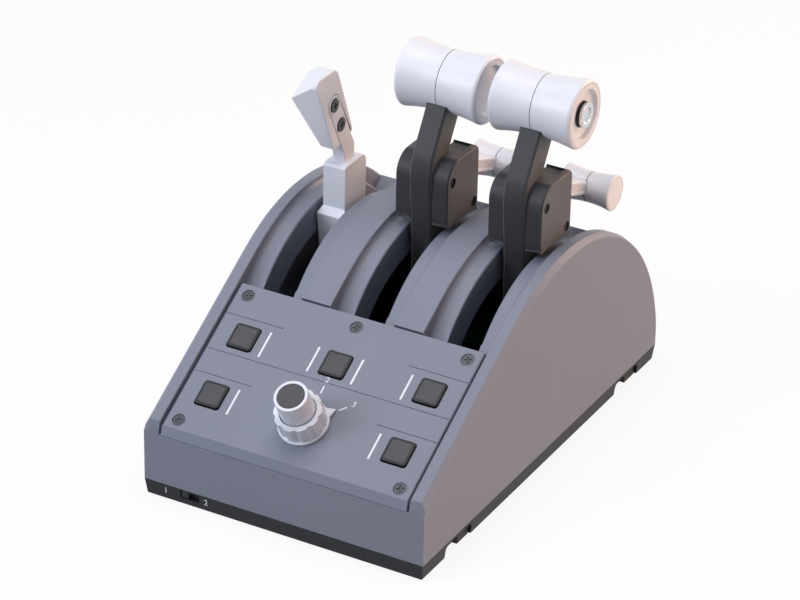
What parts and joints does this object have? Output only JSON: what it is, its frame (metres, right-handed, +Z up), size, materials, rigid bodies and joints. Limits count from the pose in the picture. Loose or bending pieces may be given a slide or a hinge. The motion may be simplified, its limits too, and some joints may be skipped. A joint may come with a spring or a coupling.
{
  "type": "throttle quadrant",
  "caption": "Desk throttle quadrant for flight simulation: hollow housing with a sloping key panel and selector, a speedbrake lever, and thrust levers that carry hinged reverser levers.",
  "frame": {"origin": "bottom centre of the housing, on the desk", "axes": "+X to the right of the person using it, +Y from that person to the rear, along the longest side, +Z up"},
  "size_m": [0.18, 0.2886, 0.2264],
  "materials": {
    "shell_plastic": "fine textured injection moulding",
    "panel_plastic": "fine textured injection moulding",
    "dark_plastic": "satin injection moulding",
    "white_plastic": "smooth satin injection moulding",
    "key_plastic": "ribbed injection moulding",
    "ring_plastic": "translucent frosted moulding",
    "rubber": "moulded rubber",
    "steel": "turned bright steel",
    "black_steel": "black oxide",
    "brass": "turned brass",
    "board": "glass-fibre circuit board",
    "switch": "moulded switch body"
  },
  "bodies": {
    "housing": {"base_screws": "steel", "base_tray": "dark_plastic", "control_panel": "panel_plastic", "encoder_body": "switch", "key_board": "board", "key_switches": "switch", "lever_shaft": "steel", "main_board": "board", "main_shell": "shell_plastic", "mounting_inserts": "brass", "panel_screws": "black_steel", "rear_cover": "shell_plastic", "rear_cover_screws": "steel", "rubber_feet": "rubber", "shaft_brackets": "dark_plastic", "slide_switch_body": "switch", "usb_socket": "steel"},
    "speedbrake": {"speedbrake_lever": "white_plastic", "speedbrake_grip": "white_plastic", "speedbrake_grip_screws": "black_steel"},
    "selector": {"selector_ring": "ring_plastic"},
    "encoder": {"encoder_knob": "white_plastic"},
    "push_cap": {"selector_push_cap": "key_plastic"},
    "slide_switch": {"slide_switch_slider": "key_plastic"},
    "left_thrust": {"left_thrust_arm": "dark_plastic", "left_block_left": "dark_plastic", "left_block_right": "dark_plastic", "left_block_screws": "black_steel", "left_reverser_pin": "steel", "left_handle_left": "white_plastic", "left_handle_right": "white_plastic", "left_button_collar": "dark_plastic"},
    "left_end_button": {"left_button": "steel"},
    "left_reverser": {"left_reverser_arm": "white_plastic", "left_reverser_knob_left": "white_plastic", "left_reverser_knob_right": "white_plastic"},
    "right_thrust": {"right_thrust_arm": "dark_plastic", "right_block_left": "dark_plastic", "right_block_right": "dark_plastic", "right_block_screws": "black_steel", "right_reverser_pin": "steel", "right_handle_left": "white_plastic", "right_handle_right": "white_plastic", "right_button_collar": "dark_plastic"},
    "right_end_button": {"right_button": "steel"},
    "right_reverser": {"right_reverser_arm": "white_plastic", "right_reverser_knob_left": "white_plastic", "right_reverser_knob_right": "white_plastic"},
    "key_upper_left_cap": {"key_upper_left": "key_plastic"},
    "key_upper_middle_cap": {"key_upper_middle": "key_plastic"},
    "key_upper_right_cap": {"key_upper_right": "key_plastic"},
    "key_lower_left_cap": {"key_lower_left": "key_plastic"},
    "key_lower_right_cap": {"key_lower_right": "key_plastic"}
  },
  "joints": [
    {"name": "speedbrake_swing", "type": "hinge", "parent": "housing", "child": "speedbrake", "pos_m": [-0.06, 0.0211, 0.0304], "axis": [1, 0, 0], "range_deg": [-28, 34]},
    {"name": "left_thrust_swing", "type": "hinge", "parent": "housing", "child": "left_thrust", "pos_m": [0, 0.0211, 0.0304], "axis": [1, 0, 0], "range_deg": [-28, 34]},
    {"name": "left_reverser_lift", "type": "hinge", "parent": "left_thrust", "child": "left_reverser", "pos_m": [0, 0.0343, 0.152], "axis": [1, 0, 0], "range_deg": [0, 65]},
    {"name": "left_button_press", "type": "slide", "parent": "left_thrust", "child": "left_end_button", "axis": [-1, 0, 0], "range_m": [-0.0008, 0], "stiffness_N_per_m": 400, "springref_m": 0.0008},
    {"name": "right_thrust_swing", "type": "hinge", "parent": "housing", "child": "right_thrust", "pos_m": [0.06, 0.0211, 0.0304], "axis": [1, 0, 0], "range_deg": [-28, 34]},
    {"name": "right_reverser_lift", "type": "hinge", "parent": "right_thrust", "child": "right_reverser", "pos_m": [0.06, 0.0343, 0.152], "axis": [1, 0, 0], "range_deg": [0, 65]},
    {"name": "right_button_press", "type": "slide", "parent": "right_thrust", "child": "right_end_button", "axis": [1, 0, 0], "range_m": [-0.0008, 0], "stiffness_N_per_m": 400, "springref_m": 0.0008},
    {"name": "key_upper_left_press", "type": "slide", "parent": "housing", "child": "key_upper_left_cap", "axis": [0, -0.509, 0.8607], "range_m": [-0.0012, 0], "stiffness_N_per_m": 300, "springref_m": 0.001},
    {"name": "key_upper_middle_press", "type": "slide", "parent": "housing", "child": "key_upper_middle_cap", "axis": [0, -0.509, 0.8607], "range_m": [-0.0012, 0], "stiffness_N_per_m": 300, "springref_m": 0.001},
    {"name": "key_upper_right_press", "type": "slide", "parent": "housing", "child": "key_upper_right_cap", "axis": [0, -0.509, 0.8607], "range_m": [-0.0012, 0], "stiffness_N_per_m": 300, "springref_m": 0.001},
    {"name": "key_lower_left_press", "type": "slide", "parent": "housing", "child": "key_lower_left_cap", "axis": [0, -0.509, 0.8607], "range_m": [-0.0012, 0], "stiffness_N_per_m": 300, "springref_m": 0.001},
    {"name": "key_lower_right_press", "type": "slide", "parent": "housing", "child": "key_lower_right_cap", "axis": [0, -0.509, 0.8607], "range_m": [-0.0012, 0], "stiffness_N_per_m": 300, "springref_m": 0.001},
    {"name": "selector_turn", "type": "hinge", "parent": "housing", "child": "selector", "pos_m": [0, -0.12, 0.06129], "axis": [0, -0.509, 0.8607], "range_deg": [0, 96]},
    {"name": "encoder_turn", "type": "hinge", "parent": "selector", "child": "encoder", "pos_m": [0, -0.12, 0.06129], "axis": [0, -0.509, 0.8607], "continuous": true},
    {"name": "push_cap_press", "type": "slide", "parent": "encoder", "child": "push_cap", "axis": [0, -0.509, 0.8607], "range_m": [-0.0008, 0], "stiffness_N_per_m": 300, "springref_m": 0.0008},
    {"name": "slide_switch_move", "type": "slide", "parent": "housing", "child": "slide_switch", "axis": [1, 0, 0], "range_m": [0, 0.0072]}
  ]
}
